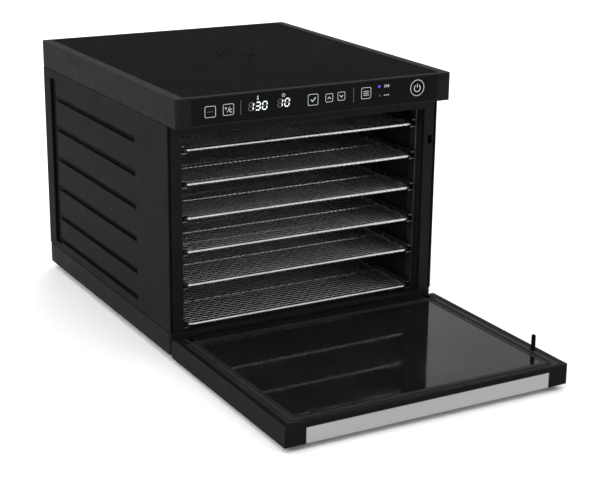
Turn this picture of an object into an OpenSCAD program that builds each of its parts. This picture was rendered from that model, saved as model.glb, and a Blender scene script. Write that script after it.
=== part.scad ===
// Cabinet food dehydrator with a drop-down door, six sliding trays and a rear fan.
// +Z is up, the front faces -Y, and the origin is on the table under the middle of the cabinet.

/* [Cabinet] */
// Width of the cabinet over the cover
body_w = 345; // [325:1:365]
// Depth of the cabinet from its front plane to its back
body_d = 380; // [376:1:400]
// Height of the whole appliance
total_h = 300; // [296:1:310]
// Height of the rubber feet
foot_h = 8; // [7:1:12]
// Height of the thick top cover
cover_h = 32; // [30:1:34]
// Height of the base band, from the feet up to the side panels
band_h = 24.5; // [24:0.5:26]
// Thickness of the moulded outer panels
panel_t = 4; // [3.5:0.5:5]
// Corner radius of the cover and the base, seen from above
corner_r = 3; // [2:0.5:6]

/* [Door] */
// Thickness of the door
door_t = 23; // [22:0.5:24]
// Gap between the closed door and the cabinet front
door_gap = 1; // [0.8:0.1:1.5]
// Height of the hinge axis above the table
hinge_z = 17; // [17:0.5:19]
// Gap between the closed door and the cover above it
door_top_gap = 1.5; // [1:0.5:3]
// Width of the plain frame around the smoked window
door_rim = 25; // [22:1:30]
// Radius of the hinge pins
pin_r = 3; // [2.5:0.5:3.5]

/* [Trays] */
// Outer width of a tray
tray_w = 298; // [290:1:299]
// Depth of a tray, front to back
tray_d = 300; // [280:1:302]
// Height of the top tray's middle above the table
tray_top_z = 235.5; // [234:0.5:237]
// Step from one tray down to the next
tray_step = 38.5; // [37:0.5:38.5]
// Extra room above the lowest tray, for thick food
lowest_extra = 7.5; // [4:0.5:7.5]
// Height of a tray's edge band
band_tall = 5; // [4:0.5:5]
// Width of a tray's edge band
band_wide = 4; // [3:0.5:5]
// Spacing of the mesh wires
mesh_pitch = 20; // [14:1:24]

/* [Air path] */
// Radius of the fan, at the blade tips
fan_r = 54; // [45:1:56]
// Number of fan blades
fan_blades = 7; // [5:1:9]
// Radius of the heating coil
heater_r = 72; // [68:1:76]

/* [Hidden] */
$fn = 48;

cut = 1;
half_w = body_w / 2;
side_x = half_w - 0.5;
cover_z = total_h - cover_h;
band_z = foot_h + band_h;

// Opening of the cabinet and the lining behind it
mouth_half = 155;
mouth_top = cover_z - 13;
sill_z = 30;
liner_t = 1.2;
floor_z = 29.5;
bezel_t = 6;
shroud_y = 316;
shroud_t = 1.5;
fan_z = 148;

// Base band and its vents
base_floor_t = 3;
base_vent_pitch = 16;
base_vent_w = 4;
base_vent_front = 150;
base_vent_back = 230;
foot_r = 12;
foot_inset = 28;
screw_head_r = 3.6;
screw_head_t = 1.6;
screw_r = 1.6;
screw_hole_r = 1.8;

// Side panels: long louvre lines that open into one upright groove
louvre_depth = 3;
louvre_half = 3.5;
louvre_front = 88;
louvre_back = 340;
louvre_drop = 2;
lowest_louvre_z = 48;
groove_front = 338;
groove_back = 358;
groove_low = 41;
groove_high = 256;
seam_tall = 0.9;
seam_deep = 1.2;

// Back panel
back_t = 3;
back_screw_zs = [46, 143, 240];
back_vent_z = 226;
back_vent_pitch = 4.5;
back_vent_tall = 2;
back_vent_half = 40;

// Cover and controls
overhang = door_t + door_gap;
glass_half = 154.5;
glass_t = 2.5;
glass_z = cover_z + 2.5;
glass_top = total_h - 2;
plate_half = 161;
plate_t = 2;
plate_front = -overhang + 5.5;
plate_back = body_d - 6;
plate_z = total_h - plate_t - 0.4;
board_y = -overhang + glass_t + 6.5;
board_t = 1.6;
board_half = 148;
display_low = cover_z + 9;
display_high = cover_z + 23;
cover_wall = 3;
cover_skin = 4.5;
post_x = 144;
post_z = cover_z + 15;
post_r = 3;
power_board_z = cover_z + 3;
power_board_top = power_board_z + board_t;
vent_y = 179;
vent_r = 21;

// Door, with the hinge axis in the middle of its thickness
door_half_t = door_t / 2;
hinge_y = -door_gap - door_half_t;
door_half = half_w - 1.5;
door_up = cover_z - door_top_gap - hinge_z;
door_end_r = door_half_t - 1;
lug_x = 155;
lug_t = 7;
lug_r = 8;
lug_low = 10;
lug_high = 24;
lug_back = 2;
notch_r = 9.2;
pin_fit = 0.06;
tab_x = 163.5;
tab_up = 200;
tab_reach = 17.5;
tab_tall = 5;
tab_t = 3;
tab_slot_half = 5;
strip_half = 147;
strip_t = 1.5;
strip_leg = 17;
strip_face = 22;
window_t = 4;
window_half = door_half - door_rim;
window_low = 22;
window_high = door_up - 32;
window_ledge = 8;
inner_t = 2;
inner_half = 165;
inner_low = 10.2;
inner_high = door_up - 3.5;
pane_half = 150;
pane_low = 18;
pane_high = door_up - 15.5;
seal_half = 159;
seal_low = 11;
seal_high = door_up - 8;
seal_w = 2.5;
clip_xs = [-132, -43, 43, 132];
clip_ups = [40, 122];

// Trays
tray_front = 8;
tray_r = 12;
wire_t = 0.8;
support_t = 3;
mesh_inset = tray_r - band_wide + 1;

// Runner racks
post_t = 2;
post_w = 12;
post_ys = [15, 290];
rail_front = 12;
rail_back = 305;
ledge_reach = 11.5;
guard_reach = 9;
rail_t = 1.8;
ledge_gap = 0.3;
guard_gap = 0.8;
rail_fit = 0.04;

// Rear compartment
shroud_hole_r = 62;
shroud_slot_x = 116;
shroud_slot_half = 24;
shroud_slot_z = 48;
shroud_slot_pitch = 24;
shroud_slot_tall = 7;
motor_y = 348;
motor_len = 22;
shaft_r = 2.5;
shaft_fit = 0.06;
coil_wire = 2.2;
coil_y = 324;
probe_x = 60;
probe_z = 216;
probe_reach = 8;
inlet_x = 120;
inlet_z = 62;
inlet_half_w = 13.7;
inlet_half_h = 10.2;
socket_half_w = 12;
socket_half_h = 8.2;
pin_pitch = 7;
intake_r = 58;
cowl_y = body_d - 4;
cowl_first_r = 8;
cowl_last_r = 44;
cowl_pitch = 9;
cowl_run = 10;
cowl_wide = 2.6;

// Height of the middle of tray n, counted from 1 at the top
function tray_z(n) = tray_top_z - tray_step * (n - 1) - (n == 6 ? lowest_extra : 0);

// ---- shared shapes ----

// Puts a shape drawn from the cabinet's front plane into the part's own frame
module placed() {
    translate([0, -body_d / 2, 0]) children();
}

module box(x0, x1, y0, y1, z0, z1) {
    translate([x0, y0, z0]) cube([x1 - x0, y1 - y0, z1 - z0]);
}

module rounded_rect(x0, x1, y0, y1, r) {
    translate([x0 + r, y0]) square([x1 - x0 - 2 * r, y1 - y0]);
    translate([x0, y0 + r]) square([x1 - x0, y1 - y0 - 2 * r]);
    for (x = [x0 + r, x1 - r], y = [y0 + r, y1 - r]) translate([x, y]) circle(r);
}

// Upright block with rounded vertical edges
module rounded_block(x0, x1, y0, y1, z0, z1, r) {
    translate([0, 0, z0]) linear_extrude(z1 - z0) rounded_rect(x0, x1, y0, y1, r);
}

// Plate that faces -Y with rounded corners, drawn in X and Z
module rounded_face(x0, x1, y0, y1, z0, z1, r) {
    translate([0, y1, 0]) rotate([90, 0, 0]) linear_extrude(y1 - y0) rounded_rect(x0, x1, z0, z1, r);
}

// Cylinder along X from x0 to x1
module rod_x(x0, x1, y, z, r) {
    translate([x0, y, z]) rotate([0, 90, 0]) cylinder(h = x1 - x0, r = r);
}

// Cylinder along Y from y0 to y1
module rod_y(x, y0, y1, z, r) {
    translate([x, y1, z]) rotate([90, 0, 0]) cylinder(h = y1 - y0, r = r);
}

// Flat ring along Y, drawn about the fan's axis
module ring_y(y0, y1, r_in, r_out) {
    difference() {
        rod_y(0, y0, y1, 0, r_out);
        rod_y(0, y0 - cut, y1 + cut, 0, r_in);
    }
}

// Conical ring along Y about the fan's axis: its bore opens from r0 to r1, its wall is wide across
module cone_y(y0, y1, r0, r1, wide) {
    slope = (r1 - r0) / (y1 - y0);
    translate([0, y1, 0]) rotate([90, 0, 0]) difference() {
        cylinder(h = y1 - y0, r1 = r1 + wide, r2 = r0 + wide);
        translate([0, 0, -cut]) {
            cylinder(h = y1 - y0 + 2 * cut, r1 = r1 + slope * cut, r2 = r0 - slope * cut);
        }
    }
}

// Pan-head screw with its head towards -Z at the origin
module screw_down(shank) {
    translate([0, 0, -screw_head_t]) cylinder(h = screw_head_t, r = screw_head_r);
    cylinder(h = shank, r = screw_r);
}

// Hole for a screw shank, from just outside the surface inwards
module screw_hole() {
    translate([0, 0, -cut]) cylinder(h = 5 + cut, r = screw_hole_r);
}

// ---- base ----

module feet_places() {
    for (x = [-1, 1], y = [foot_inset, body_d - foot_inset]) {
        translate([x * (half_w - foot_inset), y, 0]) children();
    }
}

module base_screw_places() {
    for (x = [-1, 1], y = [62, body_d / 2, body_d - 62]) {
        translate([x * (half_w - 30), y, foot_h]) children();
    }
}

module lug_slots(extra) {
    for (s = [-1, 1]) {
        x = s * lug_x;
        box(
            x - lug_t / 2 - extra, x + lug_t / 2 + extra, -cut, panel_t + lug_back + extra,
            lug_low - extra, lug_high + extra
        );
    }
}

module base_tray() {
    color([0.13, 0.13, 0.14]) placed() difference() {
        rounded_block(-side_x, side_x, 0, body_d, foot_h, band_z, corner_r);
        box(
            -side_x + panel_t, side_x - panel_t, panel_t, body_d - panel_t,
            foot_h + base_floor_t, band_z + cut
        );
        box(-mouth_half, mouth_half, -cut, panel_t + cut, sill_z, band_z + cut);
        lug_slots(0.3);
        base_screw_places() screw_hole();
        top = foot_h + base_floor_t + cut;
        for (n = [-5 : 5]) {
            x = n * base_vent_pitch - base_vent_w / 2;
            box(x, x + base_vent_w, base_vent_front, base_vent_back, foot_h - cut, top);
        }
    }
}

module feet() {
    color([0.06, 0.06, 0.06]) placed() feet_places() {
        cylinder(h = 5, r1 = foot_r - 2, r2 = foot_r);
        translate([0, 0, 5]) cylinder(h = foot_h - 5, r = foot_r);
    }
}

module base_screws() {
    color([0.55, 0.55, 0.56]) placed() base_screw_places() screw_down(10);
}

// ---- side panels ----

// Recessed louvre lines of one side, cut into the panel from its outer face
module louvre_cuts(outer_x, depth, s) {
    x0 = s > 0 ? outer_x - depth : outer_x - cut;
    x1 = s > 0 ? outer_x + cut : outer_x + depth;
    box(x0, x1, groove_front, groove_back, groove_low, groove_high);
    for (n = [1 : 6]) {
        z = n < 6 ? tray_z(n) - louvre_drop : lowest_louvre_z;
        box(x0, x1, louvre_front, louvre_back, z - louvre_half, z + louvre_half);
    }
}

// Shadow gaps where the panel meets the base band and the cover
module seam_cuts(s) {
    x0 = s > 0 ? side_x - seam_deep : -side_x - cut;
    x1 = x0 + seam_deep + cut;
    box(x0, x1, -cut, body_d + cut, band_z - cut, band_z + seam_tall);
    box(x0, x1, -cut, body_d + cut, cover_z - seam_tall, cover_z + cut);
}

module side_panel(s) {
    x0 = s > 0 ? side_x - panel_t : -side_x;
    placed() difference() {
        box(x0, x0 + panel_t, 0, body_d, band_z, cover_z);
        louvre_cuts(s * side_x, louvre_depth, s);
        seam_cuts(s);
    }
}

module left_side_panel() {
    color([0.17, 0.18, 0.19]) side_panel(-1);
}

module right_side_panel() {
    color([0.17, 0.18, 0.19]) side_panel(1);
}

// ---- back ----

module back_screw_places() {
    for (x = [-1, 1], z = back_screw_zs) {
        translate([x * (half_w - 14), body_d, z]) rotate([90, 0, 0]) children();
    }
}

module back_panel() {
    x = side_x - panel_t;
    color([0.15, 0.16, 0.17]) placed() difference() {
        box(-x, x, body_d - back_t, body_d, band_z, cover_z);
        y0 = body_d - back_t - cut;
        y1 = body_d + cut;
        rod_y(0, y0, y1, fan_z, intake_r + 2);
        box(
            inlet_x - inlet_half_w - 0.3, inlet_x + inlet_half_w + 0.3, y0, y1,
            inlet_z - inlet_half_h - 0.3, inlet_z + inlet_half_h + 0.3
        );
        back_screw_places() screw_hole();
        for (n = [0 : 7]) {
            z = back_vent_z + n * back_vent_pitch;
            box(-back_vent_half, back_vent_half, y0, y1, z, z + back_vent_tall);
        }
    }
}

module back_screws() {
    color([0.5, 0.5, 0.52]) placed() back_screw_places() screw_down(8);
}

// Fan guard of overlapping conical rings, so that nothing is seen or poked straight through it
module rear_intake_grille() {
    color([0.1, 0.1, 0.11]) placed() translate([0, 0, fan_z]) {
        ring_y(body_d, body_d + 2, intake_r - 1, intake_r + 8);
        ring_y(body_d - back_t, body_d, intake_r - 1, intake_r + 1.6);
        for (r = [cowl_first_r : cowl_pitch : cowl_last_r]) {
            cone_y(cowl_y, body_d + 1.5, r, r + cowl_run, cowl_wide);
        }
        rod_y(0, cowl_y, body_d + 1.5, 0, cowl_first_r + 1.5);
        difference() {
            for (a = [0 : 45 : 135]) rotate([0, a, 0]) {
                box(-intake_r, intake_r, body_d - 1, body_d + 1, -1.5, 1.5);
            }
            rod_y(0, body_d - 3, body_d + 3, 0, 7);
        }
    }
}

// ---- cover and controls ----

module vent_slots(z0, z1) {
    translate([0, vent_y, 0]) for (a = [0 : 30 : 330]) rotate([0, 0, a]) {
        box(-3.2, 3.2, vent_r - 3.5, vent_r, z0, z1);
    }
}

module top_cover() {
    color([0.12, 0.12, 0.13]) placed() {
        cover_shell();
        for (x = [-post_x, post_x]) rod_y(x, -overhang + 4, board_y, post_z, post_r);
    }
}

module cover_shell() {
    difference() {
        rounded_block(-half_w, half_w, -overhang, body_d, cover_z, total_h, corner_r);
        x = half_w - cover_wall;
        box(-x, x, cover_wall, body_d - cover_wall, cover_z - cut, total_h - cover_skin);
        box(-x, x, -overhang + 5, cover_wall + cut, cover_z + 2.5, total_h - cover_skin);
        rounded_block(-plate_half, plate_half, plate_front, plate_back, plate_z, total_h + cut, 4);
        rounded_face(-glass_half, glass_half, -overhang - cut, -overhang + glass_t, glass_z, glass_top, 3);
        box(-140, 140, -overhang, -overhang + 6, cover_z + 6, glass_top - 5);
        translate([0, vent_y, total_h - 6]) cylinder(h = 8, r = vent_r + 2);
        cover_screw_places() screw_hole();
    }
}

module cover_screw_places() {
    for (x = [-150, -60, 60, 150]) {
        translate([x, body_d, cover_z + 12]) rotate([90, 0, 0]) children();
    }
}

module cover_screws() {
    color([0.5, 0.5, 0.52]) placed() cover_screw_places() screw_down(8);
}

module top_plate() {
    gap = 0.6;
    color([0.11, 0.11, 0.12]) placed() difference() {
        rounded_block(
            -plate_half + gap, plate_half - gap, plate_front + gap, plate_back - gap,
            plate_z, plate_z + plate_t, 3.4
        );
        vent_slots(total_h - 5, total_h + cut);
    }
}

module control_panel() {
    color([0.05, 0.06, 0.07]) placed() rounded_face(
        -glass_half + 0.3, glass_half - 0.3, -overhang + 0.1, -overhang + glass_t,
        glass_z + 0.3, glass_top - 0.3, 2.7
    );
}

module display_module() {
    y = -overhang + glass_t + 0.3;
    color([0.2, 0.2, 0.2]) placed() {
        box(-92, -62, y, board_y, display_low, display_high);
        box(-56, -34, y, board_y, display_low, display_high);
    }
}

module control_board() {
    color([0.05, 0.3, 0.14]) placed() {
        box(-board_half, board_half, board_y, board_y + board_t, cover_z + 5, total_h - 6);
    }
}

module power_board() {
    color([0.06, 0.28, 0.14]) placed() {
        box(40, 130, 250, 330, power_board_z, power_board_top);
        box(52, 78, 262, 286, power_board_top, power_board_top + 17);
        box(90, 108, 262, 278, power_board_top, power_board_top + 14);
        translate([68, 310, power_board_top]) cylinder(h = 18, r = 8);
        translate([100, 310, power_board_top]) cylinder(h = 14, r = 5);
        for (x = [46, 124], y = [256, 324]) translate([x, y, mouth_top + liner_t]) {
            cylinder(h = power_board_z - mouth_top - liner_t, r = post_r);
        }
    }
}

// ---- cabinet front and lining ----

module front_bezel() {
    x = side_x - panel_t;
    color([0.09, 0.09, 0.1]) placed() difference() {
        box(-x, x, 0, bezel_t, band_z, cover_z);
        box(-mouth_half, mouth_half, -cut, bezel_t + cut, band_z - cut, mouth_top);
        z = hinge_z + tab_up;
        box(tab_x - 3, tab_x + 3, -cut, bezel_t + cut, z - tab_slot_half, z + tab_slot_half);
    }
}

module liner_side(s) {
    x0 = s > 0 ? mouth_half : -mouth_half - liner_t;
    placed() box(x0, x0 + liner_t, bezel_t, shroud_y + shroud_t, floor_z, mouth_top);
}

module liner_left() {
    color([0.07, 0.07, 0.07]) liner_side(-1);
}

module liner_right() {
    color([0.07, 0.07, 0.07]) liner_side(1);
}

module liner_top() {
    x = side_x - panel_t;
    color([0.07, 0.07, 0.07]) placed() {
        box(-x, x, bezel_t, body_d - back_t, mouth_top, mouth_top + liner_t);
    }
}

module liner_floor() {
    x = side_x - panel_t - 0.3;
    color([0.07, 0.07, 0.07]) placed() {
        box(-x, x, panel_t + 0.3, body_d - panel_t - 0.3, floor_z - liner_t, floor_z);
    }
}

// Runner rack of one side: two posts and, clipped on them at each tray, a ledge that carries it
// and a guard above that stops it tipping
module rail_rack(s) {
    module toward_middle(from_wall, reach, y0, y1, z0, z1) {
        x0 = s > 0 ? mouth_half - reach : -mouth_half + from_wall;
        box(x0, x0 + reach - from_wall, y0, y1, z0, z1);
    }
    start = post_t + rail_fit;
    placed() {
        for (y = post_ys) toward_middle(0, post_t, y, y + post_w, floor_z, mouth_top);
        for (n = [1 : 6]) {
            ledge = tray_z(n) - band_tall / 2 - ledge_gap;
            guard = tray_z(n) + band_tall / 2 + guard_gap;
            toward_middle(start, ledge_reach, rail_front, rail_back, ledge - rail_t, ledge);
            toward_middle(start, guard_reach, rail_front, rail_back, guard, guard + rail_t);
        }
    }
}

module left_rail_rack() {
    color([0.25, 0.25, 0.26]) rail_rack(-1);
}

module right_rail_rack() {
    color([0.25, 0.25, 0.26]) rail_rack(1);
}

// ---- rear compartment ----

module fan_shroud() {
    color([0.12, 0.12, 0.12]) placed() difference() {
        box(-mouth_half, mouth_half, shroud_y, shroud_y + shroud_t, floor_z, mouth_top);
        y0 = shroud_y - cut;
        y1 = shroud_y + shroud_t + cut;
        rod_y(0, y0, y1, fan_z, shroud_hole_r);
        rod_y(probe_x, y0, y1, probe_z, 3.3);
        for (side = [-1, 1], n = [0 : 8]) {
            x = side * shroud_slot_x;
            z = shroud_slot_z + n * shroud_slot_pitch;
            box(x - shroud_slot_half, x + shroud_slot_half, y0, y1, z, z + shroud_slot_tall);
        }
    }
}

module inner_grille() {
    y0 = shroud_y;
    y1 = shroud_y + shroud_t;
    color([0.2, 0.2, 0.2]) placed() translate([0, 0, fan_z]) {
        ring_y(y0, y1, shroud_hole_r - 3.5, shroud_hole_r - 0.3);
        for (r = [14, 25, 36, 47]) ring_y(y0, y1, r, r + 3);
        rod_y(0, y0, y1, 0, 8);
        reach = shroud_hole_r - 3;
        for (a = [0 : 45 : 135]) rotate([0, a, 0]) box(-reach, reach, y0, y1, -1.5, 1.5);
    }
}

module coil_ring(r) {
    rotate([90, 0, 0]) rotate_extrude() translate([heater_r, 0]) circle(r);
}

module heater_coil() {
    color([0.45, 0.3, 0.25]) placed() translate([0, coil_y, fan_z]) {
        for (y = [0, 7]) translate([0, y, 0]) coil_ring(coil_wire);
    }
}

module heater_frame() {
    color([0.75, 0.7, 0.6]) placed() translate([0, coil_y, fan_z]) difference() {
        y0 = shroud_y + shroud_t - coil_y;
        for (a = [0 : 60 : 300]) rotate([0, a, 0]) box(heater_r - 8, heater_r + 8, y0, 12, -1, 1);
        for (y = [0, 7]) translate([0, y, 0]) coil_ring(coil_wire + 0.3);
    }
}

module motor() {
    color([0.6, 0.6, 0.62]) placed() translate([0, 0, fan_z]) difference() {
        union() {
            rod_y(0, motor_y, motor_y + motor_len, 0, 26);
            rod_y(0, motor_y - 4, motor_y, 0, 10);
        }
        rod_y(0, motor_y - 5, motor_y + motor_len - 4, 0, shaft_r + shaft_fit);
    }
}

module motor_bracket() {
    y0 = motor_y + motor_len;
    color([0.5, 0.5, 0.5]) placed() translate([0, 0, fan_z]) difference() {
        union() {
            rod_y(0, y0, y0 + 2, 0, 30);
            for (a = [45, 135]) rotate([0, a, 0]) box(-96, 96, y0, y0 + 2, -7, 7);
            for (a = [45 : 90 : 315]) rotate([0, a, 0]) rod_y(89, y0 + 2, body_d - back_t, 0, 6);
        }
        for (a = [0 : 90 : 270]) rotate([0, a, 0]) rod_y(20, y0 - cut, y0 + 3, 0, 4);
    }
}

module thermostat() {
    color([0.8, 0.78, 0.7]) placed() {
        rod_y(104, shroud_y + shroud_t, shroud_y + 12, 230, 9);
        for (x = [98, 110]) box(x - 3, x + 3, shroud_y + 12, shroud_y + 20, 229, 231);
    }
}

module thermal_fuse() {
    y = shroud_y + shroud_t;
    color([0.85, 0.85, 0.85]) placed() {
        rod_x(-118, -92, y + 6, 232, 4);
        for (x = [-114, -96]) box(x - 1, x + 1, y, y + 4, 230, 234);
    }
}

module temperature_probe() {
    y = shroud_y + shroud_t;
    color([0.7, 0.7, 0.72]) placed() {
        rod_y(probe_x, y - probe_reach, y + 14, probe_z, 3);
        rod_y(probe_x, y, y + 1.5, probe_z, 6);
    }
}

module inlet_face(half_wide, half_tall, y0, y1, r) {
    translate([inlet_x, 0, inlet_z]) {
        rounded_face(-half_wide, half_wide, y0, y1, -half_tall, half_tall, r);
    }
}

module power_inlet() {
    y = body_d;
    color([0.07, 0.07, 0.07]) placed() difference() {
        union() {
            inlet_face(20, 13, y, y + 2.5, 3);
            inlet_face(inlet_half_w, inlet_half_h, y - 16, y, 3);
        }
        difference() {
            inlet_face(socket_half_w, socket_half_h, y - 13, y + 4, 2);
            for (n = [-1 : 1]) {
                x = inlet_x + n * pin_pitch;
                box(x - 1, x + 1, y - 14, y - 1, inlet_z - 2, inlet_z + 2);
            }
        }
    }
}

module door_switch() {
    z = hinge_z + tab_up;
    tab_end = tab_reach - door_gap;
    color([0.15, 0.15, 0.15]) placed() {
        box(tab_x - 4, side_x - panel_t, tab_end + 3, tab_end + 15, z - 10, z + 10);
        box(tab_x - 1.5, tab_x + 1.5, tab_end + 0.5, tab_end + 3, z - 3, z + 3);
    }
}

// ---- hinges ----

module hinge_bracket(s) {
    x0 = s * lug_x - lug_t / 2;
    color([0.5, 0.5, 0.52]) placed() difference() {
        union() {
            rod_x(x0, x0 + lug_t, hinge_y, hinge_z, lug_r);
            box(x0, x0 + lug_t, hinge_y, panel_t + lug_back, lug_low, lug_high);
            box(x0 - 5, x0 + lug_t + 5, panel_t + 0.2, panel_t + 3, 11, 26);
        }
        rod_x(x0 - cut, x0 + lug_t + cut, hinge_y, hinge_z, pin_r + pin_fit);
    }
}

module hinge_bracket_left() {
    hinge_bracket(-1);
}

module hinge_bracket_right() {
    hinge_bracket(1);
}

// ---- door, drawn closed about the hinge axis and laid open for the rest position ----

// Door shapes are drawn with X across, -Y outward and Z up from the hinge axis
module open_door() {
    placed() translate([0, hinge_y, hinge_z]) rotate([90, 0, 0]) children();
}

module door_blank() {
    rotate([90, 0, 90]) translate([0, 0, -door_half]) linear_extrude(2 * door_half) door_outline();
}

// Side outline: the hinge end is round on the inner face and softened on the outer one, to swing clear
module door_outline() {
    t = door_half_t;
    r = door_end_r;
    difference() {
        translate([-t, -t]) square([door_t, t + door_up]);
        difference() {
            translate([t - r, -t - cut]) square([r + cut, r + cut]);
            translate([t - r, -t + r]) circle(r);
        }
        difference() {
            translate([-t - cut, -t - cut]) square([3 + cut, 3 + cut]);
            translate([-t + 3, -t + 3]) circle(3);
        }
    }
}

module lug_notches() {
    for (s = [-1, 1]) {
        x0 = s * lug_x - lug_t / 2 - 1;
        x1 = s * lug_x + lug_t / 2 + 1;
        rod_x(x0, x1, 0, 0, notch_r);
        box(x0, x1, 0, door_t, -door_t, notch_r);
        box(x0, x1, -notch_r, door_t, -door_t, 0);
    }
}

module door_frame() {
    color([0.12, 0.12, 0.13]) open_door() difference() {
        door_blank();
        lug_notches();
        for (s = [-1, 1]) rod_x(s * lug_x - 12, s * lug_x + 12, 0, 0, pin_r);
        y0 = -door_half_t;
        y1 = door_half_t;
        rounded_face(-window_half, window_half, y0 - cut, y0 + window_t, window_low, window_high, 6);
        window_hole();
        rounded_face(-inner_half, inner_half, y1 - inner_t, y1 + cut, inner_low, inner_high, 5);
        strip_pocket(0.3);
        tab_block(y1 - 6, door_t);
    }
}

module window_hole() {
    x = window_half - window_ledge;
    rounded_face(-x, x, -door_t, door_t, window_low + window_ledge, window_high - window_ledge, 4);
}

// L-shaped pocket for the metal strip over the door's top edge
module strip_pocket(gap) {
    x = strip_half + gap;
    y = -door_half_t;
    box(-x, x, y - cut, y + strip_leg + gap, door_up - strip_t, door_up + cut);
    box(-x, x, y - cut, y + strip_t, door_up - strip_face - gap, door_up + cut);
}

module door_handle_strip() {
    y = -door_half_t;
    color([0.7, 0.7, 0.7]) open_door() {
        box(-strip_half, strip_half, y, y + strip_leg, door_up - strip_t, door_up);
        box(-strip_half, strip_half, y, y + strip_t, door_up - strip_face, door_up);
    }
}

module door_window() {
    y = -door_half_t;
    color([0.05, 0.05, 0.06]) open_door() {
        rounded_face(
            -window_half + 0.4, window_half - 0.4, y + 0.2, y + window_t,
            window_low + 0.4, window_high - 0.4, 5.6
        );
    }
}

module door_inner_frame() {
    y = door_half_t;
    color([0.16, 0.15, 0.155]) open_door() difference() {
        x = inner_half - 0.4;
        rounded_face(-x, x, y - inner_t, y - 0.2, inner_low + 0.4, inner_high - 0.4, 4.6);
        hole = pane_half + 0.4;
        rounded_face(-hole, hole, y - 4, y + cut, pane_low - 0.4, pane_high + 0.4, 5.4);
        clip_places() box(-2.6, 2.6, -4, 1, -1.2, 1.2);
        box(
            tab_x - tab_t / 2 - 1, inner_half, y - 4, y + cut,
            tab_up - tab_tall / 2 - 1, tab_up + tab_tall / 2 + 1
        );
    }
}

module door_inner_pane() {
    y = door_half_t;
    color([0.04, 0.04, 0.05]) open_door() {
        rounded_face(-pane_half, pane_half, y - inner_t, y - 0.4, pane_low, pane_high, 5);
    }
}

// Places of the snap clips on the inner frame, with Y zero at the door's inner face
module clip_places() {
    y = door_half_t;
    for (x = clip_xs) translate([x, y, inner_high - 2.3]) children();
    for (x = [-1, 1], up = clip_ups) translate([x * (inner_half - 3), y, up]) children();
}

module door_clips() {
    color([0.3, 0.3, 0.3]) open_door() clip_places() {
        box(-2.4, 2.4, -inner_t, 0.2, -1, 1);
    }
}

module door_seal() {
    y = door_half_t - 0.2;
    color([0.05, 0.05, 0.05]) open_door() difference() {
        x = seal_half - seal_w;
        rounded_face(-seal_half, seal_half, y, y + 0.8, seal_low, seal_high, 6);
        rounded_face(-x, x, y - cut, y + 2, seal_low + seal_w, seal_high - seal_w, 6 - seal_w);
    }
}

module tab_block(y0, y1) {
    box(tab_x - tab_t / 2, tab_x + tab_t / 2, y0, y1, tab_up - tab_tall / 2, tab_up + tab_tall / 2);
}

module door_switch_tab() {
    y = door_half_t;
    color([0.08, 0.08, 0.08]) open_door() {
        tip = y + tab_reach - tab_tall / 2;
        tab_block(y - 6, tip);
        translate([tab_x - tab_t / 2, tip, tab_up]) rotate([0, 90, 0]) {
            difference() {
                cylinder(h = tab_t, r = tab_tall / 2);
                translate([-tab_tall, -tab_tall - 0.01, -cut]) cube([2 * tab_tall, tab_tall, tab_t + 2]);
            }
        }
    }
}

module hinge_pins() {
    color([0.7, 0.7, 0.72]) open_door() {
        for (s = [-1, 1]) rod_x(s * lug_x - 11.8, s * lug_x + 11.8, 0, 0, pin_r);
    }
}

// ---- fan ----

module fan_impeller() {
    color([0.75, 0.75, 0.77]) placed() translate([0, 336, fan_z]) difference() {
        union() {
            rod_y(0, -7, 7, 0, 14);
            for (n = [0 : fan_blades - 1]) rotate([0, n * 360 / fan_blades, 0]) {
                rotate([38, 0, 0]) box(10, fan_r - 3, -0.8, 0.8, -9, 9);
            }
        }
        rod_y(0, -9, 9, 0, shaft_r);
    }
}

module fan_shaft() {
    color([0.8, 0.8, 0.82]) placed() rod_y(0, 328, motor_y + 14, fan_z, shaft_r);
}

// ---- trays ----

module tray_frame(n) {
    x = tray_w / 2;
    y0 = tray_front;
    y1 = tray_front + tray_d;
    z = tray_z(n);
    b = band_wide;
    color([0.8, 0.8, 0.8]) placed() {
        translate([0, 0, z - band_tall / 2]) linear_extrude(band_tall) difference() {
            rounded_rect(-x, x, y0, y1, tray_r);
            rounded_rect(-x + b, x - b, y0 + b, y1 - b, tray_r - b);
        }
        for (y = [y0 + tray_d * 0.25, y0 + tray_d * 0.5, y0 + tray_d * 0.75]) {
            box(-x + b, x - b, y - support_t / 2, y + support_t / 2, z - band_tall / 2, z - wire_t);
        }
    }
}

module tray_mesh(n) {
    x = tray_w / 2 - band_wide;
    y0 = tray_front + band_wide;
    y1 = tray_front + tray_d - band_wide;
    z = tray_z(n);
    span_x = 2 * (x - mesh_inset);
    span_y = y1 - y0 - 2 * mesh_inset;
    count_x = round(span_x / mesh_pitch);
    count_y = round(span_y / mesh_pitch);
    color([0.72, 0.72, 0.72]) placed() {
        for (k = [0 : count_x]) {
            wx = -x + mesh_inset + k * span_x / count_x;
            box(wx - wire_t / 2, wx + wire_t / 2, y0, y1, z - wire_t, z);
        }
        for (k = [0 : count_y]) {
            wy = y0 + mesh_inset + k * span_y / count_y;
            box(-x, x, wy - wire_t / 2, wy + wire_t / 2, z, z + wire_t);
        }
    }
}

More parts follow.
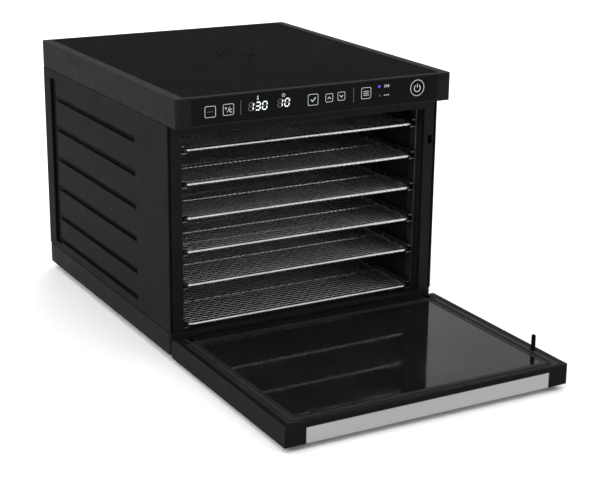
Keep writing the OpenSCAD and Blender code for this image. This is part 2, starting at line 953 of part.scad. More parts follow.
base_tray();
feet();
base_screws();
left_side_panel();
right_side_panel();
back_panel();
back_screws();
rear_intake_grille();
top_cover();
top_plate();
cover_screws();
control_panel();
display_module();
control_board();
power_board();
front_bezel();
liner_left();
liner_right();
liner_top();
liner_floor();
left_rail_rack();
right_rail_rack();
fan_shroud();
inner_grille();
heater_coil();
heater_frame();
motor();
motor_bracket();
thermostat();
thermal_fuse();
temperature_probe();
power_inlet();
door_switch();
hinge_bracket_left();
hinge_bracket_right();
fan_impeller();
fan_shaft();
door_frame();
door_inner_frame();
door_window();
door_inner_pane();
door_handle_strip();
door_seal();
door_switch_tab();
door_clips();
hinge_pins();
tray_frame(1);  // tray_1_frame
tray_mesh(1);  // tray_1_mesh
tray_frame(2);  // tray_2_frame
tray_mesh(2);  // tray_2_mesh
tray_frame(3);  // tray_3_frame
tray_mesh(3);  // tray_3_mesh
tray_frame(4);  // tray_4_frame
tray_mesh(4);  // tray_4_mesh
tray_frame(5);  // tray_5_frame
tray_mesh(5);  // tray_5_mesh
tray_frame(6);  // tray_6_frame
tray_mesh(6);  // tray_6_mesh
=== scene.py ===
import math

import bmesh
import bpy
from mathutils import Matrix, Quaternion, Vector


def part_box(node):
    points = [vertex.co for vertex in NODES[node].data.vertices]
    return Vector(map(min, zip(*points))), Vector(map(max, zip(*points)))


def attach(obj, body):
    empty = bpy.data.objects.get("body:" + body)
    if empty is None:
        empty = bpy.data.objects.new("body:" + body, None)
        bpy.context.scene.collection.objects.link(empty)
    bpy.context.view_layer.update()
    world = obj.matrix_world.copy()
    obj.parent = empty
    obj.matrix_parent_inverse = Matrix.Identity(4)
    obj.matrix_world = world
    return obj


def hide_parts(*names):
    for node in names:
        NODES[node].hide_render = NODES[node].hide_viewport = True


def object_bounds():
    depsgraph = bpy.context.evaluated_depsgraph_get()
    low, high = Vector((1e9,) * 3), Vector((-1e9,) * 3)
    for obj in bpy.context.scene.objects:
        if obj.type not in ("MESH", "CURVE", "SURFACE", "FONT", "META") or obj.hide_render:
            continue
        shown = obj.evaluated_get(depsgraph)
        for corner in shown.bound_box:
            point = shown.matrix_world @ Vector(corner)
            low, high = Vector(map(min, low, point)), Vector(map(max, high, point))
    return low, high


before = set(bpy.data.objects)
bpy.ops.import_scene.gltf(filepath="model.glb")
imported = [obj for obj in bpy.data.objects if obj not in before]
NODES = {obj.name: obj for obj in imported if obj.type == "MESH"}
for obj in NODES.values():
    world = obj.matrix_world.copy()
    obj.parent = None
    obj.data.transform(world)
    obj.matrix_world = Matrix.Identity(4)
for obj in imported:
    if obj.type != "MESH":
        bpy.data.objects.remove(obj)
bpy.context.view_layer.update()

# Food dehydrator: looks, detailed pieces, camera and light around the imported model.
# Metres, +Z up, the front faces -Y. MM turns millimetres into metres.

MM = 0.001
TRAYS = range(1, 7)

# Camera: azimuth, elevation and roll in degrees, lens in millimetres
CAM_AZIMUTH = -29.37
CAM_ELEVATION = 17.48
CAM_DISTANCE = 1.7035
CAM_TARGET = Vector((0.0133, -0.150, 0.1034))
CAM_LENS = 87.5
CAM_ROLL = 0.68

# Studio: reach of the floor and where the lights aim, in metres, and the white surroundings
FLOOR_REACH = 14
LIGHT_AIM = Vector((0, -0.1, 0.15))
SKY_STRENGTH = 0.92

# Wire tray: rim rod, mesh wire and its sideways weave, support rods
ROD_R = 2.0 * MM
ROD_Z = 0.3 * MM
WIRE_R = 0.37 * MM
WEAVE = 0.38 * MM
TRAY_CORNER = 9 * MM
MESH_PITCH = 6.2 * MM
SUPPORT_R = 1.05 * MM

# Touch panel prints: line width and thickness
INK = 0.42 * MM
INK_DEEP = 0.05 * MM

# Plastics: the tone of worn edges, and how far in from its face a side panel turns dark with painted shade
# in its louvre floors
WORN_PLASTIC = (0.03, 0.03, 0.031)
LOUVRE_LIP = 0.8 * MM
LOUVRE_FLOOR = 2.6 * MM


# ---- node materials ----

class Look:
    """A Principled material with short calls for its noise, ramps and relief."""

    def __init__(self, name, rough, metal=0.0, specular=0.5):
        self.material = bpy.data.materials.new(name)
        self.material.use_nodes = True
        self.tree = self.material.node_tree
        self.shader = self.tree.nodes["Principled BSDF"]
        self.set(Roughness=rough, Metallic=metal)
        self.shader.inputs["Specular IOR Level"].default_value = specular
        self.place = self.add("ShaderNodeTexCoord").outputs["Object"]
        self.height = None

    def add(self, kind, **settings):
        made = self.tree.nodes.new(kind)
        for key, value in settings.items():
            setattr(made, key, value)
        return made

    def link(self, source, target):
        self.tree.links.new(source, target)

    def set(self, **values):
        for key, value in values.items():
            self.shader.inputs[key.replace("_", " ")].default_value = value

    def noise(self, scale, detail=4.0, stretch=(1, 1, 1), rough=0.55):
        """Noise with that many spots a metre, drawn out along an axis by a small stretch there."""
        space = self.add("ShaderNodeMapping")
        space.inputs["Scale"].default_value = stretch
        self.link(self.place, space.inputs["Vector"])
        made = self.add("ShaderNodeTexNoise")
        made.inputs["Scale"].default_value = scale
        made.inputs["Detail"].default_value = detail
        made.inputs["Roughness"].default_value = rough
        self.link(space.outputs["Vector"], made.inputs["Vector"])
        return made.outputs["Fac"]

    def ramp(self, source, low, high, start=0.35, end=0.65):
        """Colour from low to high as the source goes from start to end."""
        made = self.add("ShaderNodeValToRGB")
        stops = made.color_ramp.elements
        stops[0].position, stops[1].position = start, end
        stops[0].color, stops[1].color = (*low, 1), (*high, 1)
        self.link(source, made.inputs["Fac"])
        return made.outputs["Color"]

    def spread(self, source, low, high, start=0.3, end=0.7):
        """Number from low to high as the source goes from start to end."""
        made = self.add("ShaderNodeMapRange")
        limits = {"From Min": start, "From Max": end, "To Min": low, "To Max": high}
        for key, value in limits.items():
            made.inputs[key].default_value = value
        self.link(source, made.inputs["Value"])
        return made.outputs["Result"]

    def blend(self, factor, first, second):
        """Colour mix of two colour outputs."""
        made = self.add("ShaderNodeMix", data_type="RGBA")
        self.link(factor, made.inputs[0])
        self.link(first, made.inputs[6])
        self.link(second, made.inputs[7])
        return made.outputs[2]

    def product(self, first, second):
        """Product of two number outputs."""
        made = self.add("ShaderNodeMath", operation="MULTIPLY")
        self.link(first, made.inputs[0])
        self.link(second, made.inputs[1])
        return made.outputs[0]

    def edges(self, radius):
        """1 on sharp edges and corners, fading to 0 on flat faces, broken up as wear is."""
        rounded = self.add("ShaderNodeBevel", samples=4)
        rounded.inputs["Radius"].default_value = radius
        plain = self.add("ShaderNodeNewGeometry")
        turned = self.add("ShaderNodeVectorMath", operation="DOT_PRODUCT")
        self.link(rounded.outputs["Normal"], turned.inputs[0])
        self.link(plain.outputs["Normal"], turned.inputs[1])
        edge = self.spread(turned.outputs["Value"], 1.0, 0.0, 0.72, 0.995)
        return self.product(edge, self.spread(self.noise(160, 5), 0.15, 1.0, 0.42, 0.6))

    def worn_tone(self, low, high, worn):
        """Uneven tone, lighter where edges are worn."""
        tone = self.ramp(self.noise(35, 6), low, high)
        wear = self.ramp(self.noise(300, 2), worn, tuple(1.3 * channel for channel in worn))
        return self.blend(self.edges(0.9 * MM), tone, wear)

    def colour(self, output):
        self.link(output, self.shader.inputs["Base Color"])

    def gloss(self, output):
        self.link(output, self.shader.inputs["Roughness"])

    def relief(self, source, strength, deep):
        """Adds fine relief from the source, deep metres from lowest to highest."""
        made = self.add("ShaderNodeBump")
        made.inputs["Strength"].default_value = strength
        made.inputs["Distance"].default_value = deep
        self.link(source, made.inputs["Height"])
        if self.height:
            self.link(self.height, made.inputs["Normal"])
        self.height = made.outputs["Normal"]
        self.link(self.height, self.shader.inputs["Normal"])


def moulded_plastic(name, low, high, rough, grain, specular):
    """Spark-textured black ABS: slightly uneven tone, fine grain, faint scuffs and lighter worn edges."""
    look = Look(name, sum(rough) / 2, specular=specular)
    look.colour(look.worn_tone(low, high, WORN_PLASTIC))
    look.gloss(look.spread(look.noise(70, 7), *rough))
    look.relief(look.noise(grain, 3, rough=0.7), 0.35, 0.09 * MM)
    look.relief(look.noise(60, 5, (1, 0.08, 1)), 0.08, 0.05 * MM)
    return look


def cabinet_plastic():
    return moulded_plastic(
        "cabinet_plastic", (0.0062, 0.0065, 0.007), (0.0085, 0.0088, 0.0095),
        rough=(0.5, 0.6), grain=2400, specular=0.045,
    ).material


def side_plastic():
    """The side panels' plastic, with painted shade darkening the floors of the louvre lines."""
    look = moulded_plastic(
        "side_plastic", (0.0072, 0.0082, 0.0094), (0.0092, 0.0104, 0.0118),
        rough=(0.56, 0.66), grain=1900, specular=0.025,
    )
    across = look.add("ShaderNodeSeparateXYZ")
    look.link(look.place, across.inputs[0])
    reach = look.add("ShaderNodeMath", operation="ABSOLUTE")
    look.link(across.outputs["X"], reach.inputs[0])
    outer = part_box("right_side_panel")[1].x
    sunk = look.spread(reach.outputs[0], 1.0, 0.0, outer - LOUVRE_FLOOR, outer - LOUVRE_LIP)
    # Painted shade: surfaces sunk behind the panel's face, the louvre floors, are painted near black.
    groove_painted_shade = look.ramp(look.noise(220, 5), (0.0006, 0.0007, 0.0009), (0.0012, 0.0014, 0.0017))
    shown = look.shader.inputs["Base Color"].links[0].from_socket
    look.colour(look.blend(sunk, shown, groove_painted_shade))
    return look.material


def cover_plastic():
    return moulded_plastic(
        "cover_plastic", (0.0082, 0.0083, 0.0085), (0.0104, 0.0105, 0.0108),
        rough=(0.5, 0.6), grain=3000, specular=0.04,
    ).material


def top_film():
    return moulded_plastic(
        "top_film", (0.0048, 0.0047, 0.0047), (0.0066, 0.0065, 0.0065),
        rough=(0.6, 0.7), grain=3600, specular=0.004,
    ).material


def bezel_plastic():
    return moulded_plastic(
        "bezel_plastic", (0.005, 0.005, 0.0053), (0.007, 0.007, 0.0074),
        rough=(0.46, 0.56), grain=2600, specular=0.08,
    ).material


def door_plastic():
    return moulded_plastic(
        "door_plastic", (0.0034, 0.0034, 0.0036), (0.005, 0.005, 0.0053),
        rough=(0.48, 0.58), grain=2800, specular=0.045,
    ).material


def door_trim():
    return moulded_plastic(
        "door_trim", (0.0105, 0.01, 0.01), (0.0145, 0.0138, 0.0139),
        rough=(0.46, 0.56), grain=2600, specular=0.1,
    ).material


def grille_plastic():
    return moulded_plastic(
        "grille_plastic", (0.004, 0.004, 0.0043), (0.006, 0.006, 0.0064),
        rough=(0.4, 0.5), grain=2400, specular=0.14,
    ).material


def rubber():
    look = Look("rubber", 0.8, specular=0.3)
    look.colour(look.ramp(look.noise(120, 5), (0.006, 0.006, 0.006), (0.014, 0.0135, 0.013)))
    look.gloss(look.spread(look.noise(200, 4), 0.7, 0.9))
    look.relief(look.noise(1500, 4, rough=0.8), 0.5, 0.12 * MM)
    return look.material


def brushed_metal(name, low, high, rough_low, rough_high, along, tone_scale=40):
    """Metal with fine drawn lines along one axis, cloudy tone and light scratches."""
    look = Look(name, (rough_low + rough_high) / 2, metal=1.0)
    stretch = tuple(0.02 if axis == along else 1 for axis in "XYZ")
    lines = look.noise(1800, 3, stretch)
    look.colour(look.ramp(look.noise(tone_scale, 4, stretch), low, high))
    look.gloss(look.spread(lines, rough_low, rough_high))
    look.relief(lines, 0.25, 0.02 * MM)
    look.relief(look.noise(140, 6), 0.06, 0.05 * MM)
    return look.material


def handle_metal():
    """Satin silver of the door's grip strip."""
    look = Look("handle_metal", 0.42, metal=0.3)
    lines = look.noise(2000, 3, (0.02, 1, 1))
    look.colour(look.ramp(look.noise(30, 4, (0.05, 1, 1)), (0.33, 0.33, 0.328), (0.38, 0.38, 0.378)))
    look.gloss(look.spread(lines, 0.46, 0.6))
    look.relief(lines, 0.25, 0.02 * MM)
    return look.material


def tray_steel():
    """Polished stainless rod with faint drawing lines and fingerprints."""
    look = Look("tray_steel", 0.22, metal=1.0)
    look.colour(look.ramp(look.noise(90, 4), (0.56, 0.555, 0.55), (0.72, 0.715, 0.71)))
    look.gloss(look.spread(look.noise(300, 5), 0.16, 0.32))
    look.relief(look.noise(1400, 3), 0.15, 0.03 * MM)
    return look.material


def mesh_steel():
    """Bright drawn wire with uneven tone and gloss."""
    look = Look("mesh_steel", 0.3, metal=1.0)
    look.colour(look.ramp(look.noise(160, 4), (0.4, 0.396, 0.392), (0.62, 0.615, 0.61)))
    look.gloss(look.spread(look.noise(500, 4), 0.22, 0.42))
    look.relief(look.noise(2600, 3), 0.2, 0.03 * MM)
    return look.material


def rail_steel():
    return brushed_metal("rail_steel", (0.1, 0.1, 0.1), (0.16, 0.16, 0.16), 0.32, 0.5, "Y")


def bracket_steel():
    return brushed_metal("bracket_steel", (0.16, 0.16, 0.165), (0.24, 0.24, 0.245), 0.34, 0.5, "X")


def motor_steel():
    return brushed_metal("motor_steel", (0.38, 0.38, 0.39), (0.5, 0.5, 0.51), 0.3, 0.46, "Z")


def shaft_steel():
    return brushed_metal("shaft_steel", (0.52, 0.52, 0.53), (0.66, 0.66, 0.67), 0.2, 0.34, "Y")


def fan_aluminium():
    return brushed_metal("fan_aluminium", (0.3, 0.3, 0.31), (0.42, 0.42, 0.43), 0.32, 0.46, "X")


def screw_steel():
    """Blackened screw with bright wear on its edges."""
    look = Look("screw_steel", 0.4, metal=1.0)
    tone = look.ramp(look.noise(500, 4), (0.09, 0.09, 0.092), (0.15, 0.15, 0.152))
    bright = look.ramp(look.noise(900, 2), (0.32, 0.32, 0.32), (0.42, 0.42, 0.42))
    look.colour(look.blend(look.edges(0.3 * MM), tone, bright))
    look.gloss(look.spread(look.noise(800, 4), 0.3, 0.48))
    look.relief(look.noise(2500, 3), 0.2, 0.02 * MM)
    return look.material


def lining():
    """Dark coated steel of the drying chamber, with faint streaks."""
    look = Look("lining", 0.5, metal=0.0, specular=0.35)
    look.colour(look.ramp(look.noise(14, 4), (0.0045, 0.0043, 0.0043), (0.008, 0.0077, 0.0077)))
    look.gloss(look.spread(look.noise(50, 6, (1, 0.1, 1)), 0.36, 0.56))
    look.relief(look.noise(900, 4), 0.2, 0.05 * MM)
    return look.material


def touch_glass():
    """Gloss black panel with faint smears."""
    look = Look("touch_glass", 0.06, specular=0.05)
    look.colour(look.ramp(look.noise(12, 3), (0.0022, 0.0028, 0.0032), (0.0034, 0.0042, 0.0048)))
    look.gloss(look.spread(look.noise(34, 6, (1, 1, 0.4)), 0.045, 0.13, 0.4, 0.72))
    look.relief(look.noise(30, 2), 0.04, 0.05 * MM)
    return look.material


def smoked_glass():
    """Dark tinted glass that shows a little of what is behind it."""
    look = Look("smoked_glass", 0.04, specular=0.12)
    look.set(Transmission_Weight=0.75, IOR=1.28)
    look.colour(look.ramp(look.noise(10, 2), (0.016, 0.016, 0.0175), (0.026, 0.0255, 0.027)))
    look.gloss(look.spread(look.noise(45, 6), 0.03, 0.1, 0.4, 0.75))
    return look.material


def display_lens():
    """Dark diffuser of the number displays, just behind the panel."""
    look = Look("display_lens", 0.35)
    look.colour(look.ramp(look.noise(200, 3), (0.012, 0.014, 0.016), (0.022, 0.024, 0.027)))
    look.gloss(look.spread(look.noise(300, 3), 0.3, 0.42))
    return look.material


def circuit_board():
    """Green solder mask over faint copper tracks."""
    look = Look("circuit_board", 0.4)
    tracks = look.add("ShaderNodeTexVoronoi", distance="MANHATTAN", feature="DISTANCE_TO_EDGE")
    tracks.inputs["Scale"].default_value = 160
    look.link(look.place, tracks.inputs["Vector"])
    copper, mask = (0.02, 0.11, 0.045), (0.01, 0.055, 0.026)
    look.colour(look.ramp(tracks.outputs["Distance"], copper, mask, 0.02, 0.09))
    look.gloss(look.spread(look.noise(120, 4), 0.3, 0.48))
    look.relief(tracks.outputs["Distance"], 0.2, 0.03 * MM)
    return look.material


def heater_wire():
    """Coated heater tube, straw to violet where it has been hot."""
    look = Look("heater_wire", 0.4, metal=1.0)
    look.colour(look.ramp(look.noise(45, 4), (0.2, 0.13, 0.1), (0.26, 0.2, 0.22)))
    look.gloss(look.spread(look.noise(160, 5), 0.32, 0.5))
    look.relief(look.noise(900, 3), 0.2, 0.05 * MM)
    return look.material


def mica():
    """Flaky pale insulating board."""
    look = Look("mica", 0.45)
    look.colour(look.ramp(look.noise(130, 6), (0.42, 0.37, 0.27), (0.6, 0.54, 0.42)))
    look.gloss(look.spread(look.noise(220, 5), 0.32, 0.6))
    look.relief(look.noise(420, 6, rough=0.7), 0.4, 0.1 * MM)
    return look.material


def glow(name, low, high, strength):
    """Lit print or lamp, a little uneven across its surface. On unlit segments and lamps its faint emission
    is a painted glow.
    """
    look = Look(name, 0.4)
    shade = look.ramp(look.noise(420, 2), low, high)
    look.colour(shade)
    look.link(shade, look.shader.inputs["Emission Color"])
    look.set(Emission_Strength=strength)
    return look.material


def floor_finish():
    """Matt white studio floor, very slightly uneven."""
    look = Look("floor_finish", 0.7, specular=0.2)
    look.colour(look.ramp(look.noise(3, 4), (0.945, 0.945, 0.945), (0.96, 0.96, 0.96)))
    look.gloss(look.spread(look.noise(8, 4), 0.65, 0.8))
    return look.material


# ---- CAD nodes that keep their shape ----

def soften(name, width, angle=32):
    """Small rounded edges on a CAD node, by modifiers only."""
    obj = NODES[name]
    weld = obj.modifiers.new("weld", "WELD")
    weld.merge_threshold = 0.01 * MM
    flat = obj.modifiers.new("flat", "DECIMATE")
    flat.decimate_type = "DISSOLVE"
    flat.angle_limit = math.radians(1.0)
    edge = obj.modifiers.new("edge", "BEVEL")
    edge.width = width
    edge.segments = 2
    edge.limit_method = "ANGLE"
    edge.angle_limit = math.radians(angle)
    edge.harden_normals = True


def finish_node(name, material, width=None):
    """Gives a CAD node its material, and rounded edges if a width is given."""
    obj = NODES[name]
    obj.data.materials.clear()
    obj.data.materials.append(material)
    if width:
        soften(name, width)


def finish_nodes(names, material, width=None):
    for name in names:
        finish_node(name, material, width)


# ---- mesh tools ----

def piece(name, bm, body, material, replaces=(), smooth=True):
    """Turns a bmesh into a piece that rides a body, takes the given material and replaces CAD nodes."""
    bmesh.ops.recalc_face_normals(bm, faces=bm.faces)
    mesh = bpy.data.meshes.new(name)
    bm.to_mesh(mesh)
    bm.free()
    if smooth:
        mesh.shade_smooth()
        mesh.set_sharp_from_angle(angle=math.radians(38))
    mesh.materials.append(material)
    obj = bpy.data.objects.new(name, mesh)
    bpy.context.scene.collection.objects.link(obj)
    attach(obj, body)
    if replaces:
        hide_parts(*replaces)


def sweep(bm, points, radius, sides, closed=False, phase=0.0):
    """Tube round a path, with closed ends unless the path is a loop."""
    count = len(points)
    rings = []
    for i, point in enumerate(points):
        before = points[i - 1] if closed or i else points[0]
        after = points[(i + 1) % count] if closed or i < count - 1 else points[-1]
        along = (after - before).normalized()
        up = Vector((0, 0, 1)) if abs(along.z) < 0.9 else Vector((1, 0, 0))
        side = along.cross(up).normalized()
        up = side.cross(along)
        turns = [phase + 2 * math.pi * k / sides for k in range(sides)]
        rings.append([bm.verts.new(point + (side * math.cos(t) + up * math.sin(t)) * radius) for t in turns])
    for i in range(count if closed else count - 1):
        ring, following = rings[i], rings[(i + 1) % count]
        for k in range(sides):
            bm.faces.new((ring[k], ring[(k + 1) % sides], following[(k + 1) % sides], following[k]))
    if not closed:
        bm.faces.new(rings[0][::-1])
        bm.faces.new(rings[-1])


def arc(centre_x, centre_z, radius, start, end, steps):
    """Points of an arc in X and Z, by angles in degrees from +X towards +Z."""
    turns = [math.radians(start + (end - start) * k / steps) for k in range(steps + 1)]
    return [(centre_x + radius * math.cos(t), centre_z + radius * math.sin(t)) for t in turns]


def stroke(bm, points, width, front, closed=False):
    """Flat raised line through X, Z points, with mitred joints, from the plane y=front inwards."""
    count = len(points)
    left, right = [], []
    for i, (x, z) in enumerate(points):
        here = Vector((x, z))
        before = Vector(points[i - 1]) if closed or i else None
        after = Vector(points[(i + 1) % count]) if closed or i < count - 1 else None
        ways = []
        if before:
            ways.append((here - before).normalized())
        if after:
            ways.append((after - here).normalized())
        mean = sum(ways, Vector((0, 0))).normalized()
        across = Vector((-mean.y, mean.x))
        reach = width / 2 / max(0.4, mean.dot(ways[0]))
        left.append(here + across * reach)
        right.append(here - across * reach)
    rows = [
        [bm.verts.new((p.x, y, p.y)) for p in side]
        for side in (left, right) for y in (front, front + INK_DEEP)
    ]
    left_front, left_back, right_front, right_back = rows
    for i in range(count if closed else count - 1):
        j = (i + 1) % count
        bm.faces.new((left_front[i], left_front[j], right_front[j], right_front[i]))
        bm.faces.new((left_back[i], right_back[i], right_back[j], left_back[j]))
        bm.faces.new((left_front[i], left_back[i], left_back[j], left_front[j]))
        bm.faces.new((right_front[i], right_front[j], right_back[j], right_back[i]))
    if not closed:
        for i in (0, count - 1):
            bm.faces.new((left_front[i], right_front[i], right_back[i], left_back[i]))


def block(bm, low, high):
    """Solid box between two corners."""
    made = bmesh.ops.create_cube(bm, size=1.0)
    size = Vector(high) - Vector(low)
    shift = (Vector(high) + Vector(low)) / 2
    for vert in made["verts"]:
        vert.co = Vector((vert.co.x * size.x, vert.co.y * size.y, vert.co.z * size.z)) + shift


def lathe(bm, profile, sides, place):
    """Turned solid from (radius, height) points about Z, then moved by a matrix."""
    rings = []
    turns = [2 * math.pi * k / sides for k in range(sides)]
    for radius, height in profile:
        if radius == 0:
            rings.append([bm.verts.new(place @ Vector((0, 0, height)))])
            continue
        ring = [Vector((radius * math.cos(t), radius * math.sin(t), height)) for t in turns]
        rings.append([bm.verts.new(place @ point) for point in ring])
    for low, high in zip(rings, rings[1:]):
        for k in range(sides):
            j = (k + 1) % sides
            if len(low) == 1:
                bm.faces.new((low[0], high[j], high[k]))
            elif len(high) == 1:
                bm.faces.new((low[k], low[j], high[0]))
            else:
                bm.faces.new((low[k], low[j], high[j], high[k]))
    for ring, closing in ((rings[0], True), (rings[-1], False)):
        if len(ring) > 1:
            bm.faces.new(ring[::-1] if closing else ring)


# ---- wire trays ----

def rim_path(half_x, half_y, corner, steps=8):
    """Middle line of the rim rod: a rounded rectangle about the tray's centre."""
    points = []
    for turn, (sx, sy) in enumerate(((1, 1), (-1, 1), (-1, -1), (1, -1))):
        for k in range(steps + 1):
            t = math.radians(90 * (turn + k / steps))
            x = sx * (half_x - corner) + corner * math.cos(t)
            y = sy * (half_y - corner) + corner * math.sin(t)
            points.append(Vector((x, y, ROD_Z)))
    return points


def corner_reach(half_x, half_y, corner, across):
    """How far the rim's middle line lies from the centre, at that distance across."""
    over = abs(across) - (half_y - corner)
    if over <= 0:
        return half_x
    return half_x - corner + math.sqrt(max(0.0, corner ** 2 - over ** 2))


def wire_path(reach, places, first_up, across, along_x):
    """One woven wire: over and under its crossings, and hooked under the rim rod at both ends."""
    hook = [
        (reach - ROD_R - WIRE_R * 0.9, ROD_Z - 0.2 * MM),
        (reach - ROD_R * 0.72, ROD_Z - ROD_R * 0.82),
        (reach, ROD_Z - ROD_R - WIRE_R * 0.9),
        (reach + ROD_R * 0.78, ROD_Z - ROD_R * 0.84),
        (reach + ROD_R + WIRE_R * 0.7, ROD_Z + 0.1 * MM),
    ]
    inside = [p for p in places if abs(p) < reach - 3.0 * MM]
    line = [(-x, z) for x, z in reversed(hook)]
    for p in inside:
        up = (places.index(p) % 2 == 0) == first_up
        line.append((p, WEAVE if up else -WEAVE))
    line += hook
    if along_x:
        return [Vector((a, across, z)) for a, z in line]
    return [Vector((across, a, z)) for a, z in line]


def tray_sizes(n):
    """Centre and half sizes of a tray's rim rod, with room outside it for the wires' hooked ends."""
    low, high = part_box(f"tray_{n}_frame")
    inset = ROD_R + 2 * WIRE_R
    half = (high - low) / 2
    return (low + high) / 2, half.x - inset, half.y - inset


def tray_rim_mesh():
    """Rim rod and the support rods under the wires, about the tray's own centre."""
    _, half_x, half_y = tray_sizes(1)
    bm = bmesh.new()
    sweep(bm, rim_path(half_x, half_y, TRAY_CORNER), ROD_R, 14, closed=True)
    z = -WEAVE - WIRE_R - SUPPORT_R
    for share in (-0.5, 0, 0.5):
        y = half_y * share
        sweep(bm, [Vector((-half_x, y, z)), Vector((half_x, y, z))], SUPPORT_R, 8)
    bmesh.ops.recalc_face_normals(bm, faces=bm.faces)
    mesh = bpy.data.meshes.new("tray_rim")
    bm.to_mesh(mesh)
    bm.free()
    return mesh


def tray_wire_mesh():
    """Woven wires of a tray, about the tray's own centre."""
    _, half_x, half_y = tray_sizes(1)
    count_x = round(2 * half_x / MESH_PITCH)
    count_y = round(2 * half_y / MESH_PITCH)
    xs = [-half_x + (k + 0.5) * 2 * half_x / count_x for k in range(count_x)]
    ys = [-half_y + (k + 0.5) * 2 * half_y / count_y for k in range(count_y)]
    bm = bmesh.new()
    for row, y in enumerate(ys):
        reach = corner_reach(half_x, half_y, TRAY_CORNER, y)
        sweep(bm, wire_path(reach, xs, row % 2 == 0, y, True), WIRE_R, 4)
    for column, x in enumerate(xs):
        reach = corner_reach(half_y, half_x, TRAY_CORNER, x)
        sweep(bm, wire_path(reach, ys, column % 2 == 1, x, False), WIRE_R, 4)
    bmesh.ops.recalc_face_normals(bm, faces=bm.faces)
    mesh = bpy.data.meshes.new("tray_wires")
    bm.to_mesh(mesh)
    bm.free()
    return mesh


def place_mesh(name, mesh, at, body, material, replaces):
    """A piece that shares a mesh, placed at a point."""
    if not mesh.materials:
        mesh.shade_smooth()
        mesh.set_sharp_from_angle(angle=math.radians(60))
        mesh.materials.append(material)
    obj = bpy.data.objects.new(name, mesh)
    obj.location = at
    bpy.context.scene.collection.objects.link(obj)
    bpy.context.view_layer.update()
    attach(obj, body)
    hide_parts(replaces)


def build_trays():
    rim, wires = tray_rim_mesh(), tray_wire_mesh()
    steel, wire = tray_steel(), mesh_steel()
    for n in TRAYS:
        centre, _, _ = tray_sizes(n)
        body = f"tray_{n}"
        place_mesh(f"{body}_rim", rim, centre, body, steel, f"{body}_frame")
        place_mesh(f"{body}_wires", wires, centre, body, wire, f"{body}_mesh")


# ---- screws ----

HEAD_R = 3.6 * MM
HEAD_H = 1.6 * MM
SHANK_R = 1.5 * MM
LONG_SHANK = 9 * MM
SHORT_SHANK = 7.5 * MM


def screw_mesh(shank):
    """Pan-head screw about the origin: the head towards -Z with a cross recess, the shank along +Z."""
    bm = bmesh.new()
    profile = [
        (0, -HEAD_H), (HEAD_R * 0.45, -HEAD_H), (HEAD_R * 0.78, -HEAD_H * 0.86),
        (HEAD_R * 0.95, -HEAD_H * 0.55), (HEAD_R, -HEAD_H * 0.25), (HEAD_R * 0.97, 0),
        (SHANK_R, 0), (SHANK_R, shank * 0.85), (0, shank),
    ]
    lathe(bm, profile, 28, Matrix.Identity(4))
    bmesh.ops.recalc_face_normals(bm, faces=bm.faces)
    head = bpy.data.meshes.new("screw_blank")
    bm.to_mesh(head)
    bm.free()
    tool = bmesh.new()
    reach, thin = HEAD_R * 0.52, HEAD_R * 0.13
    for wide, tall in ((reach, thin), (thin, reach)):
        block(tool, (-wide, -tall, -HEAD_H * 1.3), (wide, tall, -HEAD_H * 0.3))
    bmesh.ops.recalc_face_normals(tool, faces=tool.faces)
    cross = bpy.data.meshes.new("screw_tool")
    tool.to_mesh(cross)
    tool.free()
    return cut_away(head, cross)


def cut_away(blank, tool):
    """Mesh of the blank with the tool's solids removed."""
    blank_obj = bpy.data.objects.new("blank", blank)
    tool_obj = bpy.data.objects.new("tool", tool)
    for obj in (blank_obj, tool_obj):
        bpy.context.scene.collection.objects.link(obj)
    cut = blank_obj.modifiers.new("cut", "BOOLEAN")
    cut.operation = "DIFFERENCE"
    cut.solver = "EXACT"
    cut.use_self = True
    cut.object = tool_obj
    seen = bpy.context.evaluated_depsgraph_get()
    made = bpy.data.meshes.new_from_object(blank_obj.evaluated_get(seen))
    for obj in (blank_obj, tool_obj):
        bpy.data.objects.remove(obj)
    return made


def screw_set(name, mesh, places, turn, material, replaces):
    """Screws as one piece: the matrix turns their heads one way, and each has its own slot angle."""
    bm = bmesh.new()
    for k, place in enumerate(places):
        part = bpy.data.meshes.new("screw_part")
        blank = bmesh.new()
        blank.from_mesh(mesh)
        blank.transform(Matrix.Translation(place) @ turn @ Matrix.Rotation(0.7 * k, 4, "Z"))
        blank.to_mesh(part)
        blank.free()
        bm.from_mesh(part)
        bpy.data.meshes.remove(part)
    piece(name, bm, "cabinet", material, [replaces])


def spaced(low, high, count):
    """That many evenly spaced values from low to high."""
    return [low + (high - low) * k / (count - 1) for k in range(count)]


def build_screws():
    """Screws of the base, the back panel and the cover, where the CAD has them."""
    steel = screw_steel()
    up = Matrix.Identity(4)
    forward = Matrix.Rotation(math.radians(90), 4, "X")
    low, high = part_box("base_screws")
    places = [
        Vector((x, y, low.z + HEAD_H))
        for x in (low.x + HEAD_R, high.x - HEAD_R)
        for y in spaced(low.y + HEAD_R, high.y - HEAD_R, 3)
    ]
    screw_set("base_screw_set", screw_mesh(LONG_SHANK), places, up, steel, "base_screws")
    short = screw_mesh(SHORT_SHANK)
    low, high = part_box("back_screws")
    places = [
        Vector((x, high.y - HEAD_H, z))
        for x in (low.x + HEAD_R, high.x - HEAD_R)
        for z in spaced(low.z + HEAD_R, high.z - HEAD_R, 3)
    ]
    screw_set("back_screw_set", short, places, forward, steel, "back_screws")
    low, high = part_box("cover_screws")
    outer = high.x - HEAD_R
    middle = (low.z + high.z) / 2
    places = [Vector((outer * share, high.y - HEAD_H, middle)) for share in (-1, -0.4, 0.4, 1)]
    screw_set("cover_screw_set", short, places, forward, steel, "cover_screws")


# ---- touch panel prints ----

